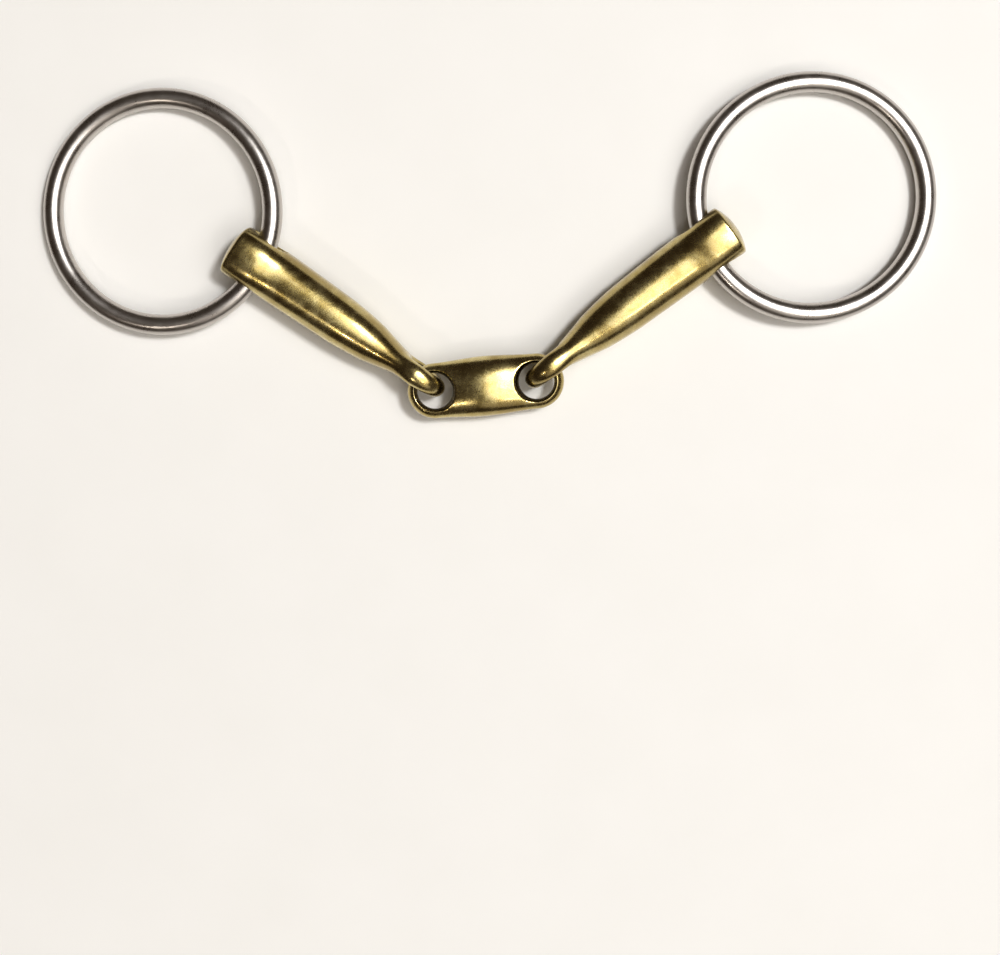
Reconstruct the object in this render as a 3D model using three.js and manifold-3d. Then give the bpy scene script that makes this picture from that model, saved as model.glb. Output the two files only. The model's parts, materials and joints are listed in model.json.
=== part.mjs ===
// Loose-ring snaffle bit of bradoon size: a lozenge link joins two curved mouthpiece arms, and a ring
// passes through the outer end of each arm. It lies on a table, bent into a shallow V.
// Millimetres, +Z up, X along the lozenge, table at z = 0, origin under the middle of the whole bit.

import * as THREE from 'three';
import { ParametricGeometry } from 'three/addons/geometries/ParametricGeometry.js';
import { mergeVertices } from 'three/addons/utils/BufferGeometryUtils.js';
import Module from 'manifold-3d';

const wasm = await Module();
wasm.setup();

const { PI, abs, asin, atan, cos, hypot, sin, max, min, sign, sqrt } = Math;
const radians = THREE.MathUtils.degToRad;

// Rings: round bar bent and welded into a circle.
const ringInnerDiameter = 50;
const ringBarDiameter = 4.9;

// Arms: an arm's frame has its origin in the bar of its eye, +X outwards to the middle of the end dome,
// +Y across and +Z up. The arm bows sideways between the two.
const armLength = 62.6; // from the tip of the eye to the crown of the end dome
const armBow = 0.2;
const armAxisHeight = 6.5; // above the table
const domeHeight = 1.6;
const domeEdgeRadius = 6.45;
// distance from the crown of the dome, half width, half height, power of the superellipse section
const armStations = [
  [domeHeight, domeEdgeRadius, 6.45, 2.9],
  [4.5, 6.55, 6.64, 2.9],
  [8, 6.56, 6.62, 2.8],
  [11, 6.5, 6.3, 2.6],
  [14, 6.45, 6.05, 2.4],
  [20, 6.33, 5.95, 2.3],
  [27, 6.15, 5.95, 2.25],
  [33, 5.95, 5.9, 2.2],
  [38, 5.5, 5.65, 2.15],
  [42, 4.95, 5.4, 2.1],
  [46, 4.1, 5.4, 2.1],
  [49.5, 3.3, 5.6, 2.1],
  [51.3, 3.05, 5.8, 2.1],
];
const armEndTaper = 0.5; // last stretch of the body, closed inside the back of the eye

// Ring hole across the arm: round in the middle, drawn out along the arm towards its two mouths.
const ringHoleFromEnd = 7.9;
const ringHoleRadius = 3.35;
const ringHoleFlare = 1.85; // extra half length of the mouths, which grows with the square of the way out
const ringHoleFlarePower = 2;
const ringHoleHalfHeight = 3.6; // the most that the mouths reach up and down
const toolLength = 2.5; // how far a hole's tool stands out past the metal
const ringHoleHalfLength = 6.5;

// Eye at the inner end of the arm: an upright closed loop whose inner bar stands in the lozenge's hole.
const eyeBarRadius = 2.5;
const eyeLegHalfThickness = 1.85;
const eyeHalfWidth = 2.4; // across, at the bar
const eyeBackHalfWidth = 3.1; // across, where the eye runs into the body
const eyeHalfHeight = 6.45;
const eyeOpeningLength = 5.6;

// Lozenge: a crowned link with round ends and a flared hole at each end.
const lozengeHoleSpacing = 24.75;
const lozengeEndRadius = 6.7;
const lozengeMiddleHalfWidth = 7.3;
const lozengeEndHalfThickness = 2.9;
const lozengeMiddleHalfThickness = 4.2;
const lozengeDrop = 0.1; // it hangs this far below the arms' axis, inside the eyes
const lozengeHoleRadius = 4.3;
const lozengeHoleFlare = 0.75; // extra radius from lozengeFlareHeight up and down
const lozengeFlareHeight = 2.3;
const lozengeFlarePower = 2;
const lozengeRimPower = 2.8;

// Pose on the table, by side: the arm's rise from straight, where its eye bar stands against the
// middle of the lozenge's hole, and the ring's turn against its hole in plan.
const sides = {
  left: { outwards: -1, rise: 40.25, eyeBar: [0.05, 0.95], ringYaw: 5.9 },
  right: { outwards: 1, rise: 31.65, eyeBar: [-0.25, 0.75], ringYaw: -11.7 },
};

const alloy = { color: 0xb0923f, roughness: 0.27, metalness: 1 };
const steel = { color: 0xbdb8b0, roughness: 0.16, metalness: 1 };

const eyeBarToEnd = armLength - eyeBarRadius;
const ringHoleX = eyeBarToEnd - ringHoleFromEnd;
const ringRadius = (ringInnerDiameter + ringBarDiameter) / 2;
const ringBulge = 0.45; // the bar's middle sits this far inwards, so its curve is balanced in the hole
const ringTilt = asin((armAxisHeight - ringBarDiameter / 2) / (2 * ringRadius - ringBulge));
const lozengeHoleX = lozengeHoleSpacing / 2;

// A closed surface as a manifold solid: seams merged, collapsed triangles left out.
function toSolid(geometry) {
  const bare = geometry.clone();
  bare.deleteAttribute('normal');
  bare.deleteAttribute('uv');
  const merged = mergeVertices(bare, 1e-4);
  const index = merged.index.array;
  const triangles = [];
  for (let i = 0; i < index.length; i += 3) {
    const [a, b, c] = [index[i], index[i + 1], index[i + 2]];
    if (a !== b && b !== c && c !== a) triangles.push(a, b, c);
  }
  const vertProperties = new Float32Array(merged.attributes.position.array);
  const triVerts = new Uint32Array(triangles);
  return new wasm.Manifold(new wasm.Mesh({ numProp: 3, vertProperties, triVerts }));
}

function toGeometry(solid) {
  const mesh = solid.getMesh();
  const geometry = new THREE.BufferGeometry();
  geometry.setAttribute('position', new THREE.BufferAttribute(mesh.vertProperties, 3));
  geometry.setIndex(new THREE.BufferAttribute(mesh.triVerts, 1));
  geometry.computeVertexNormals();
  return geometry;
}

// Smooth curve through a column of station rows: cubic pieces with the neighbours' slope at each row.
function throughStations(rows, x, column) {
  const last = rows.length - 1;
  let i = 0;
  while (i < last - 1 && x > rows[i + 1][0]) i += 1;
  const slope = (k) => {
    const [before, after] = [rows[max(k - 1, 0)], rows[min(k + 1, last)]];
    return (after[column] - before[column]) / (after[0] - before[0]);
  };
  const span = rows[i + 1][0] - rows[i][0];
  const s = (x - rows[i][0]) / span;
  const rise = rows[i + 1][column] - rows[i][column];
  const [m0, m1] = [slope(i) * span, slope(i + 1) * span];
  return rows[i][column] + s * (m0 + s * (3 * rise - 2 * m0 - m1 + s * (m0 + m1 - 2 * rise)));
}

// The bow of an arm, outwards along x: how far its middle line is to one side, and how it is turned.
function bowAt(x, bow) {
  const s = x / eyeBarToEnd;
  return { offset: 4 * bow * s * (1 - s), turn: atan(((4 * bow) / eyeBarToEnd) * (1 - 2 * s)) };
}

// Bends an arm's surface from its straight middle line onto the bowed one.
function bend(geometry, bow) {
  const position = geometry.attributes.position;
  for (let i = 0; i < position.count; i += 1) {
    const [x, y] = [position.getX(i), position.getY(i)];
    const { offset, turn } = bowAt(x, bow);
    position.setXY(i, x - y * sin(turn), offset + y * cos(turn));
  }
  return geometry;
}

// Places along the arm's body as [distance from the crown, scale of the section], dome to eye.
function bodyPlaces() {
  const places = [];
  const domeSteps = 4;
  const domeSphere = (domeEdgeRadius ** 2 + domeHeight ** 2) / (2 * domeHeight);
  for (let i = 0; i <= domeSteps; i += 1) {
    const radius = (domeEdgeRadius * i) / domeSteps;
    places.push([domeSphere - sqrt(domeSphere ** 2 - radius ** 2), i / domeSteps]);
  }
  const bodyEnd = armStations[armStations.length - 1][0];
  const bodySteps = 26;
  for (let i = 1; i <= bodySteps; i += 1) {
    places.push([domeHeight + ((bodyEnd - domeHeight) * i) / bodySteps, 1]);
  }
  places.push([bodyEnd + armEndTaper, 0]);
  return places;
}

function armBody() {
  const places = bodyPlaces();
  const bodyEnd = armStations[armStations.length - 1][0];
  const facets = 24;
  return new ParametricGeometry((u, v, target) => {
    const [distance, scale] = places[Math.round(v * (places.length - 1))];
    const along = min(max(distance, domeHeight), bodyEnd);
    const power = 2 / throughStations(armStations, along, 3);
    const angle = -2 * PI * (u + 0.5 / facets); // half a facet on, so that the underside is flat
    const y = scale * throughStations(armStations, along, 1) * sign(cos(angle)) * abs(cos(angle)) ** power;
    const z = scale * throughStations(armStations, along, 2) * sign(sin(angle)) * abs(sin(angle)) ** power;
    target.set(eyeBarToEnd - distance, y, max(z, -armAxisHeight));
  }, facets, places.length - 1);
}

// Loop with an oval opening; its bar at x = 0 is round, and its flatter legs widen towards the body.
function eyeLoop() {
  const reach = eyeOpeningLength / 2 + eyeBarRadius;
  const rise = eyeHalfHeight - eyeLegHalfThickness;
  return new ParametricGeometry((u, v, target) => {
    const [round, section] = [2 * PI * u, 2 * PI * v];
    const x = reach - (reach + eyeBarRadius * cos(section)) * cos(round);
    const z = (rise + eyeLegHalfThickness * cos(section)) * sin(round);
    const towardsBody = min(max(x / (2 * reach), 0), 1);
    target.set(x, THREE.MathUtils.lerp(eyeHalfWidth, eyeBackHalfWidth, towardsBody) * sin(section), z);
  }, 32, 12);
}

// Solid of revolution for a hole: its radius grows with a power of the distance from its middle,
// as far as flareAt.
function flaredHole(radius, flare, flareAt, power) {
  const halfLength = flareAt + toolLength;
  const profile = [new THREE.Vector2(0, -halfLength)];
  const steps = 16;
  for (let i = 0; i <= steps; i += 1) {
    const y = halfLength * ((2 * i) / steps - 1);
    profile.push(new THREE.Vector2(radius + flare * min(abs(y) / flareAt, 1) ** power, y));
  }
  profile.push(new THREE.Vector2(0, halfLength));
  return new THREE.LatheGeometry(profile, 28);
}

// Turns each round section of a hole's tool that is taller than halfHeight into an oval of that height.
function flatten(tool, halfHeight) {
  const position = tool.attributes.position;
  for (let i = 0; i < position.count; i += 1) {
    const radius = hypot(position.getX(i), position.getZ(i));
    if (radius > halfHeight) position.setZ(i, (position.getZ(i) * halfHeight) / radius);
  }
}

function armGeometry(bow) {
  const hole = flaredHole(ringHoleRadius, ringHoleFlare, ringHoleHalfLength, ringHoleFlarePower);
  flatten(hole, ringHoleHalfHeight);
  const { offset, turn } = bowAt(ringHoleX, bow);
  hole.rotateZ(turn);
  hole.translate(ringHoleX, offset, 0);
  const body = toSolid(bend(armBody(), bow)).add(toSolid(bend(eyeLoop(), bow)));
  return toGeometry(body.subtract(toSolid(hole)));
}

// Outline of the lozenge as [spine x, direction]: a half circle about each hole, joined by straight sides.
function lozengeOutline() {
  const points = [];
  const arcSteps = 14;
  const sideSteps = 8;
  for (const end of [1, -1]) {
    for (let i = 0; i < arcSteps; i += 1) {
      points.push([end * lozengeHoleX, (end < 0 ? PI : 0) + PI * (i / arcSteps - 0.5)]);
    }
    for (let i = 0; i < sideSteps; i += 1) {
      points.push([end * lozengeHoleX * (1 - (2 * i) / sideSteps), (end * PI) / 2]);
    }
  }
  points.push(points[0]);
  return points;
}

function lozengeGeometry() {
  const outline = lozengeOutline();
  const surface = (u, v, target) => {
    const [spineX, direction] = outline[Math.round(u * (outline.length - 1))];
    const crown = cos((PI / 2) * (spineX / lozengeHoleX)) ** 2;
    const halfWidth = THREE.MathUtils.lerp(lozengeEndRadius, lozengeMiddleHalfWidth, crown);
    const halfThickness = THREE.MathUtils.lerp(lozengeEndHalfThickness, lozengeMiddleHalfThickness, crown);
    const lift = PI * (v - 0.5);
    const reach = v === 0 || v === 1 ? 0 : halfWidth * cos(lift) ** (2 / lozengeRimPower);
    target.set(spineX + reach * cos(direction), reach * sin(direction), halfThickness * sin(lift));
  };
  let body = toSolid(new ParametricGeometry(surface, outline.length - 1, 16));
  for (const end of [-1, 1]) {
    const hole = flaredHole(lozengeHoleRadius, lozengeHoleFlare, lozengeFlareHeight, lozengeFlarePower);
    hole.rotateX(PI / 2);
    hole.translate(end * lozengeHoleX, 0, 0);
    body = body.subtract(toSolid(hole));
  }
  return toGeometry(body);
}

function namedMesh(name, geometry, finish) {
  const mesh = new THREE.Mesh(geometry, new THREE.MeshStandardMaterial(finish));
  mesh.name = name;
  return mesh;
}

// One arm with its ring. The arm turns about the upright bar of its eye, the ring about its own bar.
function armWithRing(name) {
  const side = sides[name];
  const bow = side.outwards * armBow; // both arms bow towards +Y
  const arm = new THREE.Group();
  arm.position.set(side.outwards * lozengeHoleX + side.eyeBar[0], side.eyeBar[1], armAxisHeight);
  arm.rotation.z = side.outwards > 0 ? radians(side.rise) : PI - radians(side.rise);
  arm.add(namedMesh(`${name}_arm`, armGeometry(bow), alloy));

  const seat = bowAt(ringHoleX, bow);
  const ringSeat = new THREE.Group();
  ringSeat.position.set(ringHoleX, seat.offset, 0);
  ringSeat.rotation.set(0, ringTilt, seat.turn + radians(side.ringYaw), 'ZYX');
  const torus = new THREE.TorusGeometry(ringRadius, ringBarDiameter / 2, 12, 64);
  const ring = namedMesh(`${name}_ring`, torus, steel);
  ring.position.x = ringRadius - ringBulge;
  ringSeat.add(ring);
  arm.add(ringSeat);
  return arm;
}

const lozenge = namedMesh('lozenge_link', lozengeGeometry(), alloy);
lozenge.position.z = armAxisHeight - lozengeDrop;

const bit = new THREE.Group();
bit.add(lozenge, armWithRing('left'), armWithRing('right'));

// Origin under the middle of the whole bit, on the table.
const bounds = new THREE.Box3().setFromObject(bit, true);
const middle = bounds.getCenter(new THREE.Vector3());
bit.position.set(-middle.x, -middle.y, -bounds.min.z);

export default bit;
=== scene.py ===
"""Loose-ring lozenge snaffle bit lying on a pale table, seen from above."""
import json
import math

import bmesh
import bpy
import numpy as np
from mathutils import Matrix, Vector


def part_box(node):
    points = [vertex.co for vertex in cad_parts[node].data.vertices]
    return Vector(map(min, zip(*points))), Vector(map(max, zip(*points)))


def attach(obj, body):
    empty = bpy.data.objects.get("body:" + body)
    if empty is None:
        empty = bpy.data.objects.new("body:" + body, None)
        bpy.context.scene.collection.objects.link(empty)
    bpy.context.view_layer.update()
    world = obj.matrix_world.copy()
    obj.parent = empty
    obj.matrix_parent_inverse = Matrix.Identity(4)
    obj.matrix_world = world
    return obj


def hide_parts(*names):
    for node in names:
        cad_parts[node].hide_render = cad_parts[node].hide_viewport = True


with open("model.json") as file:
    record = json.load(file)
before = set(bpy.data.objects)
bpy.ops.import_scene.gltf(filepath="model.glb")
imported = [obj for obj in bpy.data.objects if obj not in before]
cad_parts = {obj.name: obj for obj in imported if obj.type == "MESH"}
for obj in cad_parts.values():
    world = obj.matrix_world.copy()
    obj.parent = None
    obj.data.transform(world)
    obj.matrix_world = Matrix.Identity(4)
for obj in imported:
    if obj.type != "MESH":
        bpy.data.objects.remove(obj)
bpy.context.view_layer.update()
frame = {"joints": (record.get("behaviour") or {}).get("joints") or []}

MM = 0.001
PI = math.pi

# ---------------------------------------------------------------- places taken from the frame

joints = {joint["name"]: joint for joint in frame["joints"]}


def in_mm(point):
    return np.array(point, float) / MM


def node_box(node):
    low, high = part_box(node)
    return in_mm(low), in_mm(high)


lozenge_low, lozenge_high = node_box("lozenge_link")
LOZENGE_CENTRE = (lozenge_low + lozenge_high) / 2

# ---------------------------------------------------------------- driving sizes, in millimetres

AXIS_HEIGHT = joints["left_arm_swing"]["pos_m"][2] / MM

ARM_LENGTH = 62.6
EYE_BAR_RADIUS = 2.5
EYE_BAR_TO_END = ARM_LENGTH - EYE_BAR_RADIUS
ARM_BOW = 0.2
DOME_HEIGHT = 1.6
DOME_EDGE_RADIUS = 6.45
DOME_ROUNDING = 0.35
# this far past the dome, its rounding no longer narrows the body
DOME_REACH = 4.0
# distance from the crown of the end dome, half width, half height, power of the superellipse section
ARM_STATIONS = [
    (DOME_HEIGHT, DOME_EDGE_RADIUS, 6.45, 2.9),
    (4.5, 6.55, 6.64, 2.9),
    (8.0, 6.56, 6.62, 2.8),
    (11.0, 6.5, 6.3, 2.6),
    (14.0, 6.45, 6.05, 2.4),
    (20.0, 6.33, 5.95, 2.3),
    (27.0, 6.15, 5.95, 2.25),
    (33.0, 5.95, 5.9, 2.2),
    (38.0, 5.5, 5.65, 2.15),
    (42.0, 4.95, 5.4, 2.1),
    (46.0, 4.1, 5.4, 2.1),
    (49.5, 3.3, 5.6, 2.1),
    (51.3, 3.05, 5.8, 2.1),
]
ARM_END_TAPER = 0.5

RING_HOLE_FROM_END = 7.9
RING_HOLE_X = EYE_BAR_TO_END - RING_HOLE_FROM_END
RING_HOLE_RADIUS = 3.35
RING_HOLE_FLARE = 1.85
RING_HOLE_HALF_LENGTH = 6.5
RING_HOLE_FLARE_POWER = 2
RING_HOLE_HALF_HEIGHT = 3.6
TOOL_LENGTH = 2.5

EYE_LEG_HALF_THICKNESS = 1.85
EYE_HALF_WIDTH = 2.4
EYE_BACK_HALF_WIDTH = 3.1
EYE_HALF_HEIGHT = 6.45
EYE_OPENING_LENGTH = 5.6

LOZENGE_HOLE_SPACING = 24.75
LOZENGE_END_RADIUS = 6.7
LOZENGE_MIDDLE_HALF_WIDTH = 7.3
LOZENGE_END_HALF_THICKNESS = 2.9
LOZENGE_MIDDLE_HALF_THICKNESS = 4.2
LOZENGE_HOLE_RADIUS = 4.3
LOZENGE_HOLE_FLARE = 0.75
LOZENGE_FLARE_HEIGHT = 2.3
LOZENGE_FLARE_POWER = 2
LOZENGE_RIM_POWER = 2.8

RING_INNER_DIAMETER = 50.0
RING_BAR_DIAMETER = 4.9
RING_RADIUS = (RING_INNER_DIAMETER + RING_BAR_DIAMETER) / 2
# the curved bar passes this far beyond the middle of its hole, away from the ring's centre
RING_BULGE = 0.45

# grid points closer than this are the same point
SAME_POINT = 0.003

VOXEL = 0.2
SMOOTH_STEPS = 14
SMOOTH_FACTOR = 0.5
# the stretch of an arm, from its eye bar, where the body runs into the eye
NECK_SOFT_FROM = 5.5
NECK_SOFT_TO = 18.0
NECK_FADE = 3.0
NECK_SOFT_STEPS = 240
WEIGHT_LEVELS = 10

# ---------------------------------------------------------------- camera

CAMERA_PLACE = (32.0, -15.2, 502.2)
CAMERA_LOOK = (-0.069, -0.0871, -0.9938)
CAMERA_UP = (0.0929, 0.9913, -0.0933)
SENSOR_WIDTH = 36.0
LENS = 73.86
# in metres
CLIP_START = 0.01
CLIP_END = 20.0


def make_camera():
    """The photo's camera, nearly straight above the bit."""
    camera = bpy.data.objects.new("camera", bpy.data.cameras.new("camera"))
    bpy.context.scene.collection.objects.link(camera)
    back = -Vector(CAMERA_LOOK).normalized()
    right = Vector(CAMERA_UP).cross(back).normalized()
    up = back.cross(right)
    turn = Matrix((right, up, back)).transposed().to_4x4()
    camera.matrix_world = Matrix.Translation(Vector(CAMERA_PLACE) * MM) @ turn
    camera.data.sensor_width = SENSOR_WIDTH
    camera.data.lens = LENS
    camera.data.clip_start = CLIP_START
    camera.data.clip_end = CLIP_END
    bpy.context.scene.camera = camera


make_camera()

# ---------------------------------------------------------------- mesh helpers


def quad(at, row, column):
    """One face between two rows and two columns, where at(row, column) gives a vertex's number."""
    return at(row, column), at(row, column + 1), at(row + 1, column + 1), at(row + 1, column)


def closed_grid(points):
    """Faces of a grid of points that closes round its second index; its first and last rows are poles."""
    rows, columns = points.shape[:2]
    vertices = [points[0].mean(0)] + list(points[1:-1].reshape(-1, 3)) + [points[-1].mean(0)]
    last = len(vertices) - 1

    def at(row, column):
        return 1 + (row - 1) * columns + column % columns

    faces = []
    for column in range(columns):
        faces.append((0, at(1, column + 1), at(1, column)))
        faces.append((last, at(rows - 2, column), at(rows - 2, column + 1)))
        for row in range(1, rows - 2):
            faces.append(quad(at, row, column))
    return vertices, faces


def loop_grid(points):
    """Faces of a grid of points that closes round both indices."""
    rows, columns = points.shape[:2]

    def at(row, column):
        return (row % rows) * columns + column % columns

    faces = []
    for row in range(rows):
        for column in range(columns):
            faces.append(quad(at, row, column))
    return list(points.reshape(-1, 3)), faces


def make_piece(name, vertices, faces):
    mesh = bpy.data.meshes.new(name)
    mesh.from_pydata([tuple(v) for v in vertices], [], faces)
    mesh.update()
    shape = bmesh.new()
    shape.from_mesh(mesh)
    bmesh.ops.recalc_face_normals(shape, faces=shape.faces)
    shape.to_mesh(mesh)
    shape.free()
    piece = bpy.data.objects.new(name, mesh)
    bpy.context.scene.collection.objects.link(piece)
    return piece


def apply_modifiers(piece):
    """Turns the piece's modifiers into its mesh."""
    depsgraph = bpy.context.evaluated_depsgraph_get()
    evaluated = piece.evaluated_get(depsgraph)
    mesh = bpy.data.meshes.new_from_object(evaluated)
    mesh.name = piece.name
    piece.modifiers.clear()
    old = piece.data
    piece.data = mesh
    bpy.data.meshes.remove(old)


def cut(piece, tool):
    boolean = piece.modifiers.new("cut", "BOOLEAN")
    boolean.operation = "DIFFERENCE"
    boolean.solver = "EXACT"
    boolean.object = tool
    apply_modifiers(piece)
    bpy.data.objects.remove(tool)


def join_into(piece, other):
    shape = bmesh.new()
    shape.from_mesh(piece.data)
    shape.from_mesh(other.data)
    shape.to_mesh(piece.data)
    shape.free()
    bpy.data.objects.remove(other)


def cast_skin(piece):
    """One continuous skin with softened edges, as casting and polishing leave."""
    remesh = piece.modifiers.new("remesh", "REMESH")
    remesh.mode = "VOXEL"
    remesh.voxel_size = VOXEL
    remesh.use_smooth_shade = True
    smooth = piece.modifiers.new("smooth", "SMOOTH")
    smooth.factor = SMOOTH_FACTOR
    smooth.iterations = SMOOTH_STEPS
    apply_modifiers(piece)


def soften(piece, weights, steps):
    """Smooths a piece further where the weights say, such as where two cast forms run into each other."""
    group = piece.vertex_groups.new(name="soft")
    for step in range(1, WEIGHT_LEVELS + 1):
        chosen = np.flatnonzero(np.round(weights * WEIGHT_LEVELS) == step)
        group.add(chosen.tolist(), step / WEIGHT_LEVELS, "REPLACE")
    smooth = piece.modifiers.new("soften", "SMOOTH")
    smooth.factor = SMOOTH_FACTOR
    smooth.iterations = steps
    smooth.vertex_group = group.name
    apply_modifiers(piece)


def vertices_of(piece):
    points = np.empty(len(piece.data.vertices) * 3)
    piece.data.vertices.foreach_get("co", points)
    return points.reshape(-1, 3)


def finish_piece(piece, place, body, node, material):
    """Moves a mesh from its own frame in millimetres to the row frame in metres, and hooks it up."""
    piece.data.transform(Matrix.Scale(MM, 4) @ place)
    piece.data.update()
    for polygon in piece.data.polygons:
        polygon.use_smooth = True
    piece.data.materials.clear()
    piece.data.materials.append(material)
    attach(piece, body)
    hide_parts(node)


# ---------------------------------------------------------------- shapes


def through_stations(distance, column):
    """Smooth curve through one column of the stations: cubic pieces with the neighbours' slope at each."""
    rows = np.array(ARM_STATIONS)
    x, y = rows[:, 0], rows[:, column]
    slopes = np.empty(len(x))
    slopes[1:-1] = (y[2:] - y[:-2]) / (x[2:] - x[:-2])
    slopes[0] = (y[1] - y[0]) / (x[1] - x[0])
    slopes[-1] = (y[-1] - y[-2]) / (x[-1] - x[-2])
    i = np.clip(np.searchsorted(x, distance) - 1, 0, len(x) - 2)
    span = x[i + 1] - x[i]
    s = (distance - x[i]) / span
    rise = y[i + 1] - y[i]
    m0, m1 = slopes[i] * span, slopes[i + 1] * span
    return y[i] + s * (m0 + s * (3 * rise - 2 * m0 - m1 + s * (m0 + m1 - 2 * rise)))


def bow_at(x, bow):
    """Sideways offset and turn of the arm's middle line at x, where bow is its offset halfway along."""
    s = x / EYE_BAR_TO_END
    return 4 * bow * s * (1 - s), np.arctan(4 * bow / EYE_BAR_TO_END * (1 - 2 * s))


def bend(points, bow):
    """Moves points of a straight arm to where the bowed arm has them."""
    offset, turn = bow_at(points[..., 0], bow)
    bent = points.copy()
    bent[..., 0] = points[..., 0] - points[..., 1] * np.sin(turn)
    bent[..., 1] = offset + points[..., 1] * np.cos(turn)
    return bent


def smooth_min(a, b, blend):
    """The smaller of a and b, with the corner rounded where they are closer than blend."""
    h = np.clip(0.5 + 0.5 * (b - a) / blend, 0, 1)
    return b + (a - b) * h - blend * h * (1 - h)


def arm_body_points(around=120, dome_rows=26, body_rows=190):
    """Grid over the arm's body, from the crown of its end dome to where the body ends inside the eye."""
    body_end = ARM_STATIONS[-1][0]
    dome_sphere = (DOME_EDGE_RADIUS**2 + DOME_HEIGHT**2) / (2 * DOME_HEIGHT)
    over_dome = DOME_HEIGHT * (np.linspace(0, 1, dome_rows) ** 2)
    past_dome = np.linspace(DOME_HEIGHT, body_end, body_rows)[1:]
    along = np.concatenate([over_dome, past_dome, [body_end + ARM_END_TAPER]])
    station = np.clip(along, DOME_HEIGHT, body_end)
    half_width = through_stations(station, 1)
    half_height = through_stations(station, 2)
    power = 2 / through_stations(station, 3)
    cap = np.sqrt(np.maximum(2 * dome_sphere * along - along**2, 0)) / DOME_EDGE_RADIUS
    scale = smooth_min(cap, np.ones_like(cap), DOME_ROUNDING / DOME_EDGE_RADIUS)
    scale = np.maximum(scale - scale[0], 0) / (1 - scale[0])
    scale = np.where(along > DOME_HEIGHT + DOME_REACH, 1, scale)
    scale[-1] = 0
    angle = 2 * PI * np.arange(around) / around
    c, s = np.cos(angle), np.sin(angle)
    y = (scale * half_width)[:, None] * np.sign(c) * np.abs(c) ** power[:, None]
    z = (scale * half_height)[:, None] * np.sign(s) * np.abs(s) ** power[:, None]
    x = np.broadcast_to((EYE_BAR_TO_END - along)[:, None], y.shape)
    return np.stack([x, y, np.maximum(z, -AXIS_HEIGHT)], -1)


def eye_points(around=144, section_steps=48):
    """Grid over the upright eye, a link whose bar lies at x = 0 and whose back lies inside the body."""
    reach = EYE_OPENING_LENGTH / 2 + EYE_BAR_RADIUS
    rise = EYE_HALF_HEIGHT - EYE_LEG_HALF_THICKNESS
    loop = 2 * PI * np.arange(around)[:, None] / around
    section = 2 * PI * np.arange(section_steps)[None, :] / section_steps
    x = reach - (reach + EYE_BAR_RADIUS * np.cos(section)) * np.cos(loop)
    z = (rise + EYE_LEG_HALF_THICKNESS * np.cos(section)) * np.sin(loop)
    towards_body = np.clip(x / (2 * reach), 0, 1)
    y = (EYE_HALF_WIDTH + (EYE_BACK_HALF_WIDTH - EYE_HALF_WIDTH) * towards_body) * np.sin(section)
    return np.stack([x, y, z], -1)


def flared_hole(name, radius, flare, flare_at, power, half_height=math.inf, around=128, steps=80):
    """Tool for a hole along Z: its radius grows with a power of the distance from its middle.

    The growth stops at flare_at. A section that is taller than half_height along Y becomes an oval.
    """
    half_length = flare_at + TOOL_LENGTH
    z = np.concatenate([[-half_length], np.linspace(-half_length, half_length, steps), [half_length]])
    r = radius + flare * np.minimum(np.abs(z) / flare_at, 1) ** power
    r[[0, -1]] = 0
    angle = 2 * PI * np.arange(around)[None, :] / around
    height = np.minimum(r, half_height)
    x = r[:, None] * np.cos(angle)
    y = height[:, None] * np.sin(angle)
    points = np.stack([x, y, np.broadcast_to(z[:, None], x.shape)], -1)
    return make_piece(name, *closed_grid(points))


def build_arm(name, bow):
    arm = make_piece(name, *closed_grid(bend(arm_body_points(), bow)))
    hole = flared_hole("ring_hole", RING_HOLE_RADIUS, RING_HOLE_FLARE, RING_HOLE_HALF_LENGTH,
                       RING_HOLE_FLARE_POWER, RING_HOLE_HALF_HEIGHT)
    offset, turn = bow_at(RING_HOLE_X, bow)
    on_middle_line = Matrix.Translation((RING_HOLE_X, offset, 0)) @ Matrix.Rotation(turn, 4, "Z")
    hole.data.transform(on_middle_line @ Matrix.Rotation(PI / 2, 4, "X"))
    cut(arm, hole)
    join_into(arm, make_piece("eye", *loop_grid(bend(eye_points(), bow))))
    cast_skin(arm)
    x = vertices_of(arm)[:, 0]
    inside_neck = np.clip((NECK_SOFT_TO - x) / NECK_FADE, 0, 1)
    outside_eye = np.clip((x - NECK_SOFT_FROM) / NECK_FADE, 0, 1)
    soften(arm, inside_neck * outside_eye, NECK_SOFT_STEPS)
    return arm


def lozenge_points(arc_steps=72, side_steps=60, lift_steps=72):
    """Grid over the lozenge: each row is a closed loop round it, from the bottom's spine up to the top's."""
    half_spacing = LOZENGE_HOLE_SPACING / 2
    outline = []
    for end in (1, -1):
        for i in range(arc_steps):
            outline.append((end * half_spacing, (PI if end < 0 else 0) + PI * (i / arc_steps - 0.5)))
        for i in range(side_steps):
            outline.append((end * half_spacing * (1 - 2 * i / side_steps), end * PI / 2))
    spine, direction = np.array(outline).T
    crown = np.cos(PI / 2 * spine / half_spacing) ** 2
    half_width = LOZENGE_END_RADIUS + (LOZENGE_MIDDLE_HALF_WIDTH - LOZENGE_END_RADIUS) * crown
    half_thickness = LOZENGE_END_HALF_THICKNESS + crown * (
        LOZENGE_MIDDLE_HALF_THICKNESS - LOZENGE_END_HALF_THICKNESS)
    lift = PI * (np.linspace(0, 1, lift_steps) - 0.5)[:, None]
    reach = half_width * np.abs(np.cos(lift)) ** (2 / LOZENGE_RIM_POWER)
    reach[[0, -1]] = 0
    x = spine + reach * np.cos(direction)
    y = reach * np.sin(direction)
    z = half_thickness * np.sin(lift)
    return np.stack([x, y, z], -1)


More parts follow.
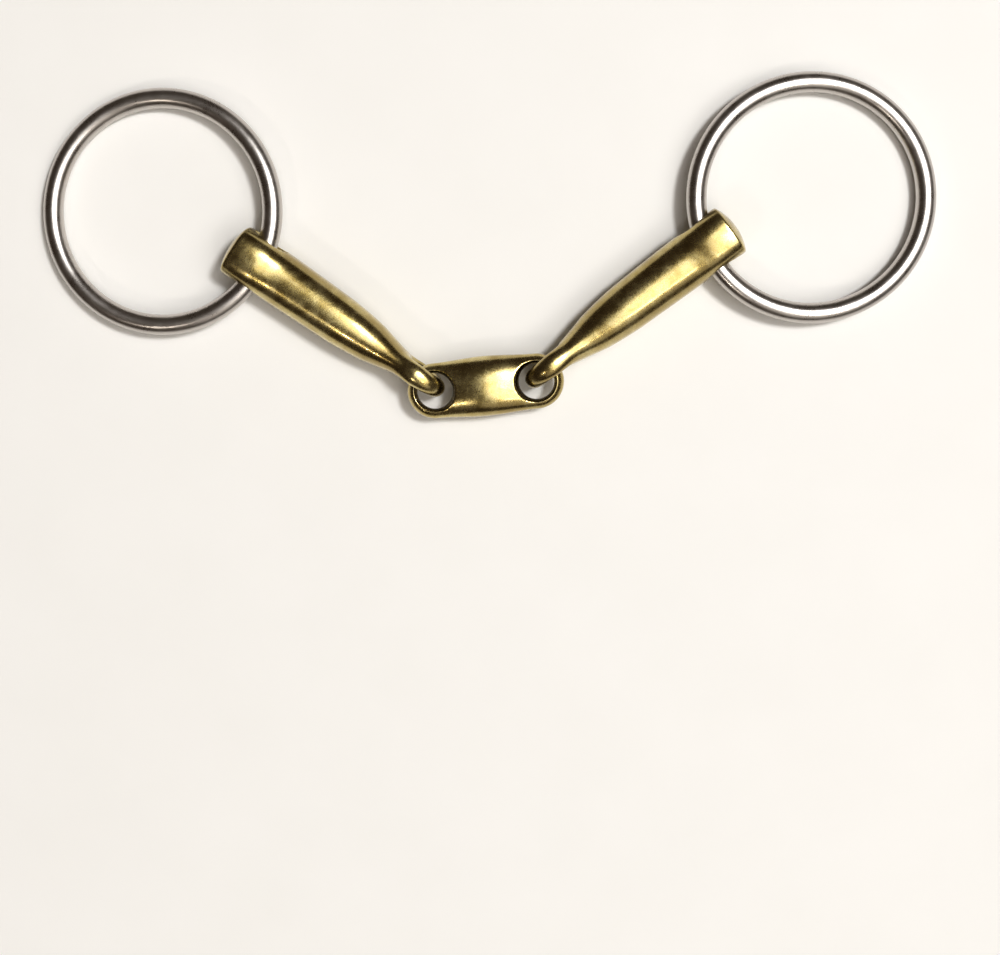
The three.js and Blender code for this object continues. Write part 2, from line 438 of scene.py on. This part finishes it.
def build_lozenge(name):
    points = lozenge_points()
    rows, columns = points.shape[:2]
    vertices, faces = loop_grid(points)
    # no faces join the top row to the bottom row: each lies on the spine and closes when doubles are merged
    top_row = (rows - 1) * columns
    faces = [face for face in faces if not (min(face) < columns and max(face) >= top_row)]
    piece = make_piece(name, vertices, faces)
    shape = bmesh.new()
    shape.from_mesh(piece.data)
    bmesh.ops.remove_doubles(shape, verts=shape.verts, dist=SAME_POINT)
    bmesh.ops.recalc_face_normals(shape, faces=shape.faces)
    shape.to_mesh(piece.data)
    shape.free()
    for end in (-1, 1):
        hole = flared_hole("link_hole", LOZENGE_HOLE_RADIUS, LOZENGE_HOLE_FLARE, LOZENGE_FLARE_HEIGHT,
                           LOZENGE_FLARE_POWER)
        hole.data.transform(Matrix.Translation((end * LOZENGE_HOLE_SPACING / 2, 0, 0)))
        cut(piece, hole)
    cast_skin(piece)
    return piece


def build_ring(name, around=360, section_steps=64):
    bar = RING_BAR_DIAMETER / 2
    loop = 2 * PI * np.arange(around)[:, None] / around
    section = 2 * PI * np.arange(section_steps)[None, :] / section_steps
    r = RING_RADIUS + bar * np.cos(section)
    points = np.stack([r * np.cos(loop), r * np.sin(loop), bar * np.sin(section) + 0 * loop], -1)
    return make_piece(name, *loop_grid(points))


# ---------------------------------------------------------------- placing


def arm_place(side):
    """The arm's own frame in the row frame, its bow and its direction, all from the two joints.

    Its origin is in the eye bar and +X points outwards along the arm.
    """
    pivot = in_mm(joints[f"{side}_arm_swing"]["pos_m"])
    hole = in_mm(joints[f"{side}_ring_swing"]["pos_m"])
    outwards = 1 if hole[0] > pivot[0] else -1
    bow = outwards * ARM_BOW
    offset, _ = bow_at(RING_HOLE_X, bow)
    direction = math.atan2(hole[1] - pivot[1], hole[0] - pivot[0]) - math.atan2(offset, RING_HOLE_X)
    return Matrix.Translation(pivot) @ Matrix.Rotation(direction, 4, "Z"), bow, direction


def ring_place(side):
    """The ring's own frame: its centre, with the joint's axis along the bar where it passes the hole."""
    hole = Vector(in_mm(joints[f"{side}_ring_swing"]["pos_m"]))
    bar = Vector(joints[f"{side}_ring_swing"]["axis"]).normalized()
    tilt = math.asin((AXIS_HEIGHT - RING_BAR_DIAMETER / 2) / (2 * RING_RADIUS - RING_BULGE))
    level = bar.cross(Vector((0, 0, 1)))
    outwards = level * math.cos(tilt) - Vector((0, 0, 1)) * math.sin(tilt)
    up = outwards.cross(bar)
    turn = Matrix((outwards, bar, up)).transposed().to_4x4()
    return Matrix.Translation(hole + outwards * (RING_RADIUS - RING_BULGE)) @ turn


# ---------------------------------------------------------------- materials

# the part of a noise texture's range that holds nearly all its values
MIDDLE = (0.3, 0.7)
ALLOY_DULL = (0.52, 0.41, 0.15)
ALLOY_BRIGHT = (0.78, 0.69, 0.38)
TARNISH = (0.34, 0.25, 0.09)
DARK_GRAIN = (0.30, 0.22, 0.08)
# near-black brown that paints shade on the walls of the lozenge's holes
HOLE_SHADE = (0.09, 0.06, 0.03)
STEEL_DULL = (0.58, 0.55, 0.52)
STEEL_BRIGHT = (0.66, 0.63, 0.60)
TABLE_DULL = (0.86, 0.845, 0.815)
TABLE_BRIGHT = (0.89, 0.875, 0.85)
# relief of the surface, in millimetres
GRAIN_DEPTH = 0.04
HAIR_DEPTH = 0.03
# painted shade on the walls of a hole in the lozenge fades away between these distances from the middle of
# the hole, also in millimetres
HOLE_SHADE_FROM = 4.8
HOLE_SHADE_TO = 5.5


def nodes_of(name):
    material = bpy.data.materials.new(name)
    material.use_nodes = True
    tree = material.node_tree
    shader = tree.nodes["Principled BSDF"]
    return material, tree, shader


def noise(tree, coordinates, scale, detail, roughness, stretch=(1, 1, 1), turn=0.0, distortion=0.0):
    """Noise about 0.5 with scale cells to the metre; a stretch below 1 makes the cells longer that way."""
    mapping = tree.nodes.new("ShaderNodeMapping")
    mapping.inputs["Rotation"].default_value = (0, 0, turn)
    mapping.inputs["Scale"].default_value = stretch
    texture = tree.nodes.new("ShaderNodeTexNoise")
    texture.inputs["Scale"].default_value = scale
    texture.inputs["Detail"].default_value = detail
    texture.inputs["Roughness"].default_value = roughness
    texture.inputs["Distortion"].default_value = distortion
    tree.links.new(coordinates, mapping.inputs["Vector"])
    tree.links.new(mapping.outputs["Vector"], texture.inputs["Vector"])
    return texture.outputs["Fac"]


def remap(tree, value, low, high, to_low, to_high):
    node = tree.nodes.new("ShaderNodeMapRange")
    node.inputs["From Min"].default_value = low
    node.inputs["From Max"].default_value = high
    node.inputs["To Min"].default_value = to_low
    node.inputs["To Max"].default_value = to_high
    tree.links.new(value, node.inputs["Value"])
    return node.outputs["Result"]


def add(tree, a, b):
    node = tree.nodes.new("ShaderNodeMath")
    node.operation = "ADD"
    tree.links.new(a, node.inputs[0])
    tree.links.new(b, node.inputs[1])
    return node.outputs["Value"]


def mix_colours(tree, factor, low, high):
    """From low at factor 0 to high at factor 1, each of them a colour or another node's output."""
    node = tree.nodes.new("ShaderNodeMix")
    node.data_type = "RGBA"
    for socket, colour in ((node.inputs["A"], low), (node.inputs["B"], high)):
        if isinstance(colour, tuple):
            socket.default_value = (*colour, 1)
        else:
            tree.links.new(colour, socket)
    tree.links.new(factor, node.inputs["Factor"])
    return node.outputs["Result"]


def vector_math(tree, operation, vector, other=(0, 0, 0), output="Vector"):
    node = tree.nodes.new("ShaderNodeVectorMath")
    node.operation = operation
    tree.links.new(vector, node.inputs[0])
    node.inputs[1].default_value = other
    return node.outputs[output]


def painted_shade_in_holes(tree, place):
    """Mask for painted shade: 1 on the walls of the lozenge's two holes, fading to 0 on the faces around
    them.
    """
    from_centre = vector_math(tree, "SUBTRACT", place, LOZENGE_CENTRE * MM)
    one_half = vector_math(tree, "ABSOLUTE", from_centre)
    from_hole = vector_math(tree, "SUBTRACT", one_half, (LOZENGE_HOLE_SPACING / 2 * MM, 0, 0))
    in_plan = vector_math(tree, "MULTIPLY", from_hole, (1, 1, 0))
    distance = vector_math(tree, "LENGTH", in_plan, output="Value")
    return remap(tree, distance, HOLE_SHADE_FROM * MM, HOLE_SHADE_TO * MM, 1, 0)


def bump(tree, height, distance, strength, normal=None):
    """Relief from a height of 0 to 1, on top of another node's normal if one is given."""
    node = tree.nodes.new("ShaderNodeBump")
    node.inputs["Strength"].default_value = strength
    node.inputs["Distance"].default_value = distance
    tree.links.new(height, node.inputs["Height"])
    if normal is not None:
        tree.links.new(normal, node.inputs["Normal"])
    return node.outputs["Normal"]


def alloy(name, grain_turn, shaded_holes=False):
    """Gold-coloured cast copper alloy, polished and worn: satin gloss, stains and hairlines.

    The hairlines run along the direction grain_turn. When the holes are asked for, the walls of the
    lozenge's holes get painted shade in near-black brown.
    """
    material, tree, shader = nodes_of(name)
    place = tree.nodes.new("ShaderNodeTexCoord").outputs["Object"]
    stains = noise(tree, place, 300, 5, 0.65)
    grain = noise(tree, place, 2600, 3, 0.6)
    hairs = noise(tree, place, 900, 3, 0.6, stretch=(0.05, 1, 1), turn=-grain_turn)
    tarnish = noise(tree, place, 60, 5, 0.6, distortion=0.4)
    colour = mix_colours(tree, remap(tree, stains, *MIDDLE, 0, 1), ALLOY_DULL, ALLOY_BRIGHT)
    colour = mix_colours(tree, remap(tree, tarnish, 0.46, 0.66, 0, 0.75), colour, TARNISH)
    colour = mix_colours(tree, remap(tree, grain, *MIDDLE, 0.35, 0), colour, DARK_GRAIN)
    # painted shade: darkens the walls of the lozenge's holes to near-black
    if shaded_holes:
        colour = mix_colours(tree, painted_shade_in_holes(tree, place), colour, HOLE_SHADE)
    tree.links.new(colour, shader.inputs["Base Color"])
    shader.inputs["Metallic"].default_value = 1
    rough = add(tree, remap(tree, stains, *MIDDLE, 0.20, 0.30), remap(tree, grain, *MIDDLE, -0.02, 0.04))
    rough = add(tree, rough, remap(tree, hairs, 0.35, 0.75, -0.01, 0.03))
    tree.links.new(rough, shader.inputs["Roughness"])
    normal = bump(tree, grain, GRAIN_DEPTH * MM, 0.2)
    normal = bump(tree, hairs, HAIR_DEPTH * MM, 0.05, normal)
    tree.links.new(normal, shader.inputs["Normal"])
    shader.inputs["Coat Weight"].default_value = 0.6
    shader.inputs["Coat Roughness"].default_value = 0.05
    return material


def ring_steel(name):
    """Polished stainless bar with faint hairlines and slightly clouded patches."""
    material, tree, shader = nodes_of(name)
    place = tree.nodes.new("ShaderNodeTexCoord").outputs["Object"]
    clouds = noise(tree, place, 220, 4, 0.6)
    hairs = noise(tree, place, 3000, 2, 0.5, stretch=(1, 1, 0.2))
    colour = mix_colours(tree, remap(tree, clouds, *MIDDLE, 0, 1), STEEL_DULL, STEEL_BRIGHT)
    tree.links.new(colour, shader.inputs["Base Color"])
    shader.inputs["Metallic"].default_value = 1
    rough = add(tree, remap(tree, clouds, *MIDDLE, 0.24, 0.32), remap(tree, hairs, *MIDDLE, 0, 0.05))
    tree.links.new(rough, shader.inputs["Roughness"])
    tree.links.new(bump(tree, hairs, HAIR_DEPTH * MM, 0.15), shader.inputs["Normal"])
    return material


def table_top():
    material, tree, shader = nodes_of("table_top")
    place = tree.nodes.new("ShaderNodeTexCoord").outputs["Object"]
    mottle = noise(tree, place, 40, 3, 0.5)
    tree.links.new(mix_colours(tree, mottle, TABLE_DULL, TABLE_BRIGHT), shader.inputs["Base Color"])
    shader.inputs["Roughness"].default_value = 0.6
    shader.inputs["Specular IOR Level"].default_value = 0.3
    return material


# ---------------------------------------------------------------- build

lozenge = build_lozenge("lozenge")
link_alloy = alloy("alloy_link", 0, shaded_holes=True)
at_centre = Matrix.Translation(LOZENGE_CENTRE)
finish_piece(lozenge, at_centre, "lozenge", "lozenge_link", link_alloy)

for side in ("left", "right"):
    place, bow, direction = arm_place(side)
    arm = build_arm(f"{side}_cannon", bow)
    arm_alloy = alloy(f"alloy_{side}", direction)
    finish_piece(arm, place, f"{side}_arm", f"{side}_arm", arm_alloy)
    ring = build_ring(f"{side}_loose_ring")
    steel = ring_steel(f"steel_{side}")
    finish_piece(ring, ring_place(side), f"{side}_ring", f"{side}_ring", steel)

# ---------------------------------------------------------------- table and light

# in metres
TABLE_SIZE = 6.0
LIGHT_DISTANCE = 3.4
ROOM_COLOUR = (0.5, 0.37, 0.27, 1)
ROOM_STRENGTH = 0.14
# the photo has raised contrast
VIEW_GAMMA = 0.8

bpy.ops.mesh.primitive_plane_add(size=TABLE_SIZE, location=(0, 0, 0))
table = bpy.context.object
table.name = "table"
table.data.materials.append(table_top())


def soft_light(name, azimuth, zenith, half_angle, radiance, colour):
    """A flat round light, far enough away to look the same from everywhere on the bit.

    The angles are in degrees: azimuth from +X towards +Y, zenith from straight up, and half_angle the
    light's own.
    """
    width = 2 * LIGHT_DISTANCE * math.tan(math.radians(half_angle))
    data = bpy.data.lights.new(name, "AREA")
    data.shape = "ELLIPSE"
    data.size = width
    data.size_y = width
    data.energy = radiance * PI * (PI / 4 * width**2)
    data.color = colour
    light = bpy.data.objects.new(name, data)
    turn = math.radians(azimuth)
    lean = math.radians(zenith)
    towards = Vector((math.sin(lean) * math.cos(turn), math.sin(lean) * math.sin(turn), math.cos(lean)))
    light.location = LIGHT_DISTANCE * towards
    light.rotation_euler = (-towards).to_track_quat("-Z", "Y").to_euler()
    bpy.context.scene.collection.objects.link(light)


soft_light("lamp", 19, 26, 4.4, 94, (0.97, 0.985, 1))
soft_light("window", -9, 22, 26, 2.4, (1, 0.99, 0.97))
soft_light("front_wall", 285, 46, 20, 0.6, (1, 0.95, 0.88))
soft_light("small_lamp", 230, 38, 1.4, 90, (1, 0.93, 0.84))
soft_light("second_small_lamp", 297, 33, 3.5, 8, (1, 0.95, 0.88))

world = bpy.data.worlds.new("room")
bpy.context.scene.world = world
world.use_nodes = True
background = world.node_tree.nodes["Background"]
background.inputs["Color"].default_value = ROOM_COLOUR
background.inputs["Strength"].default_value = ROOM_STRENGTH

view = bpy.context.scene.view_settings
view.view_transform = "Standard"
view.look = "None"
view.gamma = VIEW_GAMMA
